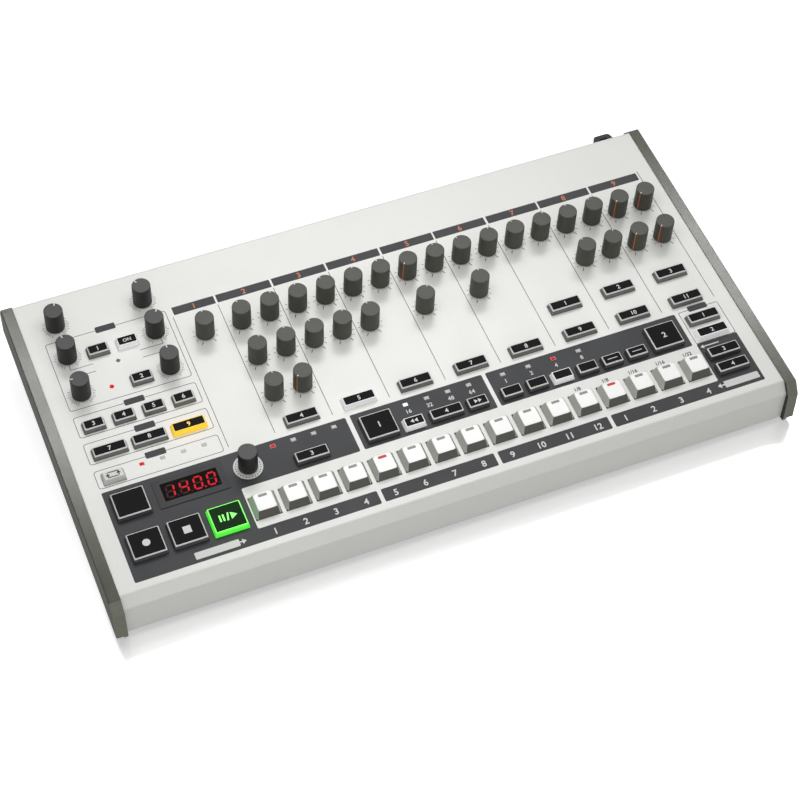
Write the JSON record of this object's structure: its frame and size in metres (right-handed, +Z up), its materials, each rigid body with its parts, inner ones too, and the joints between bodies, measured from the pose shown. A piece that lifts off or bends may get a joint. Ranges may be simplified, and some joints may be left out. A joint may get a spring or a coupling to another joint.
{
  "type": "drum machine",
  "caption": "Desktop drum machine: tilted steel panel with rotary knobs, lit buttons, a row of step keys and a four-digit display, between two end cheeks.",
  "frame": {"origin": "middle of the overall width and depth, on the surface it stands on", "axes": "+X to the player's right, +Y to the rear, +Z up"},
  "size_m": [0.485, 0.2662, 0.0752],
  "materials": {
    "white_painted_steel": "fine texture, matt",
    "cheek_plastic": "matt, dark olive grey",
    "tray_steel": "black powder coat",
    "rubber_black": "matt",
    "board_green": "solder mask",
    "part_black": "moulded",
    "pot_body": "plated",
    "knob_grey": "satin, dark grey",
    "knob_black": "satin, black",
    "button_grey": "satin",
    "key_white": "satin white",
    "window_dark": "smoked, polished",
    "lens_milky": "milky"
  },
  "bodies": {
    "housing": {"top_panel": "white_painted_steel", "left_cheek": "cheek_plastic", "right_cheek": "cheek_plastic", "control_board": "board_green", "potentiometers": "pot_body", "tact_switches": "part_black", "display_module": "window_dark", "led_lenses": "lens_milky", "bottom_tray": "tray_steel", "rubber_feet": "rubber_black", "main_board": "board_green", "rear_sockets": "part_black", "cable_hook": "part_black"},
    "master_knob_left_front": {"master_knob_left_front": "knob_black"},
    "master_knob_left_middle": {"master_knob_left_middle": "knob_black"},
    "master_knob_left_rear": {"master_knob_left_rear": "knob_black"},
    "master_knob_right_front": {"master_knob_right_front": "knob_black"},
    "master_knob_right_middle": {"master_knob_right_middle": "knob_black"},
    "master_knob_right_rear": {"master_knob_right_rear": "knob_black"},
    "accent_knob": {"accent_knob": "knob_grey"},
    "voice_knob_rear_1": {"voice_knob_rear_1": "knob_grey"},
    "voice_knob_rear_2": {"voice_knob_rear_2": "knob_grey"},
    "voice_knob_rear_3": {"voice_knob_rear_3": "knob_grey"},
    "voice_knob_rear_4": {"voice_knob_rear_4": "knob_grey"},
    "voice_knob_rear_5": {"voice_knob_rear_5": "knob_grey"},
    "voice_knob_rear_6": {"voice_knob_rear_6": "knob_grey"},
    "voice_knob_rear_7": {"voice_knob_rear_7": "knob_grey"},
    "voice_knob_rear_8": {"voice_knob_rear_8": "knob_grey"},
    "voice_knob_rear_9": {"voice_knob_rear_9": "knob_grey"},
    "voice_knob_rear_10": {"voice_knob_rear_10": "knob_grey"},
    "voice_knob_rear_11": {"voice_knob_rear_11": "knob_grey"},
    "voice_knob_rear_12": {"voice_knob_rear_12": "knob_grey"},
    "voice_knob_rear_13": {"voice_knob_rear_13": "knob_grey"},
    "voice_knob_rear_14": {"voice_knob_rear_14": "knob_grey"},
    "voice_knob_rear_15": {"voice_knob_rear_15": "knob_grey"},
    "voice_knob_rear_16": {"voice_knob_rear_16": "knob_grey"},
    "voice_knob_middle_1": {"voice_knob_middle_1": "knob_grey"},
    "voice_knob_middle_2": {"voice_knob_middle_2": "knob_grey"},
    "voice_knob_middle_3": {"voice_knob_middle_3": "knob_grey"},
    "voice_knob_middle_4": {"voice_knob_middle_4": "knob_grey"},
    "voice_knob_middle_5": {"voice_knob_middle_5": "knob_grey"},
    "voice_knob_middle_7": {"voice_knob_middle_7": "knob_grey"},
    "voice_knob_middle_9": {"voice_knob_middle_9": "knob_grey"},
    "voice_knob_middle_13": {"voice_knob_middle_13": "knob_grey"},
    "voice_knob_middle_14": {"voice_knob_middle_14": "knob_grey"},
    "voice_knob_middle_15": {"voice_knob_middle_15": "knob_grey"},
    "voice_knob_middle_16": {"voice_knob_middle_16": "knob_grey"},
    "voice_knob_front_1": {"voice_knob_front_1": "knob_grey"},
    "voice_knob_front_2": {"voice_knob_front_2": "knob_grey"},
    "data_encoder_knob": {"data_encoder_knob": "knob_black"},
    "transport_buttons": {"transport_buttons": "button_grey"},
    "mode_buttons": {"mode_buttons": "button_grey"},
    "voice_buttons": {"voice_buttons": "button_grey"},
    "length_buttons": {"length_buttons": "button_grey"},
    "track_buttons": {"track_buttons": "button_grey"},
    "step_keys_1_4": {"step_keys_1_4": "key_white"},
    "step_keys_5_8": {"step_keys_5_8": "key_white"},
    "step_keys_9_12": {"step_keys_9_12": "key_white"},
    "step_keys_13_16": {"step_keys_13_16": "key_white"},
    "power_rocker": {"power_rocker": "part_black"}
  },
  "joints": [
    {"name": "transport_buttons_press", "type": "slide", "parent": "housing", "child": "transport_buttons", "axis": [0, 0.0958, -0.9954], "range_m": [0, 0.0012], "stiffness_N_per_m": 800, "springref_m": -0.001},
    {"name": "mode_buttons_press", "type": "slide", "parent": "housing", "child": "mode_buttons", "axis": [0, 0.0958, -0.9954], "range_m": [0, 0.0012], "stiffness_N_per_m": 800, "springref_m": -0.001},
    {"name": "voice_buttons_press", "type": "slide", "parent": "housing", "child": "voice_buttons", "axis": [0, 0.0958, -0.9954], "range_m": [0, 0.0012], "stiffness_N_per_m": 800, "springref_m": -0.001},
    {"name": "length_buttons_press", "type": "slide", "parent": "housing", "child": "length_buttons", "axis": [0, 0.0958, -0.9954], "range_m": [0, 0.0012], "stiffness_N_per_m": 800, "springref_m": -0.001},
    {"name": "track_buttons_press", "type": "slide", "parent": "housing", "child": "track_buttons", "axis": [0, 0.0958, -0.9954], "range_m": [0, 0.0012], "stiffness_N_per_m": 800, "springref_m": -0.001},
    {"name": "step_keys_1_4_press", "type": "slide", "parent": "housing", "child": "step_keys_1_4", "axis": [0, 0.0958, -0.9954], "range_m": [0, 0.002], "stiffness_N_per_m": 800, "springref_m": -0.001},
    {"name": "step_keys_5_8_press", "type": "slide", "parent": "housing", "child": "step_keys_5_8", "axis": [0, 0.0958, -0.9954], "range_m": [0, 0.002], "stiffness_N_per_m": 800, "springref_m": -0.001},
    {"name": "step_keys_9_12_press", "type": "slide", "parent": "housing", "child": "step_keys_9_12", "axis": [0, 0.0958, -0.9954], "range_m": [0, 0.002], "stiffness_N_per_m": 800, "springref_m": -0.001},
    {"name": "step_keys_13_16_press", "type": "slide", "parent": "housing", "child": "step_keys_13_16", "axis": [0, 0.0958, -0.9954], "range_m": [0, 0.002], "stiffness_N_per_m": 800, "springref_m": -0.001},
    {"name": "power_rocker_tip", "type": "hinge", "parent": "housing", "child": "power_rocker", "pos_m": [0.17051, 0.11876, 0.027], "axis": [1, 0, 0], "range_deg": [-16, 0]},
    {"name": "data_encoder_knob_turn", "type": "hinge", "parent": "housing", "child": "data_encoder_knob", "pos_m": [-0.12757, -0.06251, 0.04221], "axis": [0, -0.0958, 0.9954], "continuous": true},
    {"name": "master_knob_left_rear_turn", "type": "hinge", "parent": "housing", "child": "master_knob_left_rear", "pos_m": [-0.21131, 0.09019, 0.05691], "axis": [0, -0.0958, 0.9954], "range_deg": [-125, 175]},
    {"name": "voice_knob_rear_1_turn", "type": "hinge", "parent": "housing", "child": "voice_knob_rear_1", "pos_m": [-0.09194, 0.04937, 0.05298], "axis": [0, -0.0958, 0.9954], "range_deg": [-165, 135]},
    {"name": "accent_knob_turn", "type": "hinge", "parent": "housing", "child": "accent_knob", "pos_m": [-0.11821, 0.04937, 0.05298], "axis": [0, -0.0958, 0.9954], "range_deg": [-150, 150]},
    {"name": "master_knob_left_front_turn", "type": "hinge", "parent": "housing", "child": "master_knob_left_front", "pos_m": [-0.21131, 0.03026, 0.05114], "axis": [0, -0.0958, 0.9954], "range_deg": [-225, 75]},
    {"name": "master_knob_left_middle_turn", "type": "hinge", "parent": "housing", "child": "master_knob_left_middle", "pos_m": [-0.21131, 0.06211, 0.05421], "axis": [0, -0.0958, 0.9954], "range_deg": [-160, 140]},
    {"name": "master_knob_right_front_turn", "type": "hinge", "parent": "housing", "child": "master_knob_right_front", "pos_m": [-0.14951, 0.03026, 0.05114], "axis": [0, -0.0958, 0.9954], "range_deg": [-150, 150]},
    {"name": "master_knob_right_middle_turn", "type": "hinge", "parent": "housing", "child": "master_knob_right_middle", "pos_m": [-0.14951, 0.06211, 0.05421], "axis": [0, -0.0958, 0.9954], "range_deg": [-115, 185]},
    {"name": "master_knob_right_rear_turn", "type": "hinge", "parent": "housing", "child": "master_knob_right_rear", "pos_m": [-0.14951, 0.09019, 0.05691], "axis": [0, -0.0958, 0.9954], "range_deg": [-180, 120]},
    {"name": "voice_knob_rear_2_turn", "type": "hinge", "parent": "housing", "child": "voice_knob_rear_2", "pos_m": [-0.07161, 0.04937, 0.05298], "axis": [0, -0.0958, 0.9954], "range_deg": [-128, 172]},
    {"name": "voice_knob_rear_3_turn", "type": "hinge", "parent": "housing", "child": "voice_knob_rear_3", "pos_m": [-0.05128, 0.04937, 0.05298], "axis": [0, -0.0958, 0.9954], "range_deg": [-152, 148]},
    {"name": "voice_knob_rear_4_turn", "type": "hinge", "parent": "housing", "child": "voice_knob_rear_4", "pos_m": [-0.03095, 0.04937, 0.05298], "axis": [0, -0.0958, 0.9954], "range_deg": [-176, 124]},
    {"name": "voice_knob_rear_5_turn", "type": "hinge", "parent": "housing", "child": "voice_knob_rear_5", "pos_m": [-0.01061, 0.04937, 0.05298], "axis": [0, -0.0958, 0.9954], "range_deg": [-139, 161]},
    {"name": "voice_knob_rear_6_turn", "type": "hinge", "parent": "housing", "child": "voice_knob_rear_6", "pos_m": [0.00972, 0.04937, 0.05298], "axis": [0, -0.0958, 0.9954], "range_deg": [-163, 137]},
    {"name": "voice_knob_rear_7_turn", "type": "hinge", "parent": "housing", "child": "voice_knob_rear_7", "pos_m": [0.03005, 0.04937, 0.05298], "axis": [0, -0.0958, 0.9954], "range_deg": [-280, 20]},
    {"name": "voice_knob_rear_8_turn", "type": "hinge", "parent": "housing", "child": "voice_knob_rear_8", "pos_m": [0.05038, 0.04937, 0.05298], "axis": [0, -0.0958, 0.9954], "range_deg": [-150, 150]},
    {"name": "voice_knob_rear_9_turn", "type": "hinge", "parent": "housing", "child": "voice_knob_rear_9", "pos_m": [0.07072, 0.04937, 0.05298], "axis": [0, -0.0958, 0.9954], "range_deg": [-174, 126]},
    {"name": "voice_knob_rear_10_turn", "type": "hinge", "parent": "housing", "child": "voice_knob_rear_10", "pos_m": [0.09105, 0.04937, 0.05298], "axis": [0, -0.0958, 0.9954], "range_deg": [-137, 163]},
    {"name": "voice_knob_rear_11_turn", "type": "hinge", "parent": "housing", "child": "voice_knob_rear_11", "pos_m": [0.11138, 0.04937, 0.05298], "axis": [0, -0.0958, 0.9954], "range_deg": [-161, 139]},
    {"name": "voice_knob_rear_12_turn", "type": "hinge", "parent": "housing", "child": "voice_knob_rear_12", "pos_m": [0.13171, 0.04937, 0.05298], "axis": [0, -0.0958, 0.9954], "range_deg": [-124, 176]},
    {"name": "voice_knob_rear_13_turn", "type": "hinge", "parent": "housing", "child": "voice_knob_rear_13", "pos_m": [0.15205, 0.04937, 0.05298], "axis": [0, -0.0958, 0.9954], "range_deg": [-148, 152]},
    {"name": "voice_knob_rear_14_turn", "type": "hinge", "parent": "housing", "child": "voice_knob_rear_14", "pos_m": [0.17238, 0.04937, 0.05298], "axis": [0, -0.0958, 0.9954], "range_deg": [-172, 128]},
    {"name": "voice_knob_rear_15_turn", "type": "hinge", "parent": "housing", "child": "voice_knob_rear_15", "pos_m": [0.19271, 0.04937, 0.05298], "axis": [0, -0.0958, 0.9954], "range_deg": [-280, 20]},
    {"name": "voice_knob_rear_16_turn", "type": "hinge", "parent": "housing", "child": "voice_knob_rear_16", "pos_m": [0.21304, 0.04937, 0.05298], "axis": [0, -0.0958, 0.9954], "range_deg": [-270, 30]},
    {"name": "voice_knob_middle_1_turn", "type": "hinge", "parent": "housing", "child": "voice_knob_middle_1", "pos_m": [-0.09194, 0.01747, 0.04991], "axis": [0, -0.0958, 0.9954], "range_deg": [-122, 178]},
    {"name": "voice_knob_middle_2_turn", "type": "hinge", "parent": "housing", "child": "voice_knob_middle_2", "pos_m": [-0.07161, 0.01747, 0.04991], "axis": [0, -0.0958, 0.9954], "range_deg": [-146, 154]},
    {"name": "voice_knob_middle_3_turn", "type": "hinge", "parent": "housing", "child": "voice_knob_middle_3", "pos_m": [-0.05128, 0.01747, 0.04991], "axis": [0, -0.0958, 0.9954], "range_deg": [-170, 130]},
    {"name": "voice_knob_middle_4_turn", "type": "hinge", "parent": "housing", "child": "voice_knob_middle_4", "pos_m": [-0.03095, 0.01747, 0.04991], "axis": [0, -0.0958, 0.9954], "range_deg": [-133, 167]},
    {"name": "voice_knob_middle_5_turn", "type": "hinge", "parent": "housing", "child": "voice_knob_middle_5", "pos_m": [-0.01061, 0.01747, 0.04991], "axis": [0, -0.0958, 0.9954], "range_deg": [-157, 143]},
    {"name": "voice_knob_middle_7_turn", "type": "hinge", "parent": "housing", "child": "voice_knob_middle_7", "pos_m": [0.03005, 0.01747, 0.04991], "axis": [0, -0.0958, 0.9954], "range_deg": [-120, 180]},
    {"name": "voice_knob_middle_9_turn", "type": "hinge", "parent": "housing", "child": "voice_knob_middle_9", "pos_m": [0.07072, 0.01747, 0.04991], "axis": [0, -0.0958, 0.9954], "range_deg": [-144, 156]},
    {"name": "voice_knob_middle_13_turn", "type": "hinge", "parent": "housing", "child": "voice_knob_middle_13", "pos_m": [0.15205, 0.01747, 0.04991], "axis": [0, -0.0958, 0.9954], "range_deg": [-168, 132]},
    {"name": "voice_knob_middle_14_turn", "type": "hinge", "parent": "housing", "child": "voice_knob_middle_14", "pos_m": [0.17238, 0.01747, 0.04991], "axis": [0, -0.0958, 0.9954], "range_deg": [-131, 169]},
    {"name": "voice_knob_middle_15_turn", "type": "hinge", "parent": "housing", "child": "voice_knob_middle_15", "pos_m": [0.19271, 0.01747, 0.04991], "axis": [0, -0.0958, 0.9954], "range_deg": [-280, 20]},
    {"name": "voice_knob_middle_16_turn", "type": "hinge", "parent": "housing", "child": "voice_knob_middle_16", "pos_m": [0.21304, 0.01747, 0.04991], "axis": [0, -0.0958, 0.9954], "range_deg": [-275, 25]},
    {"name": "voice_knob_front_1_turn", "type": "hinge", "parent": "housing", "child": "voice_knob_front_1", "pos_m": [-0.09194, -0.01443, 0.04684], "axis": [0, -0.0958, 0.9954], "range_deg": [-142, 158]},
    {"name": "voice_knob_front_2_turn", "type": "hinge", "parent": "housing", "child": "voice_knob_front_2", "pos_m": [-0.07161, -0.01443, 0.04684], "axis": [0, -0.0958, 0.9954], "range_deg": [-275, 25]}
  ]
}
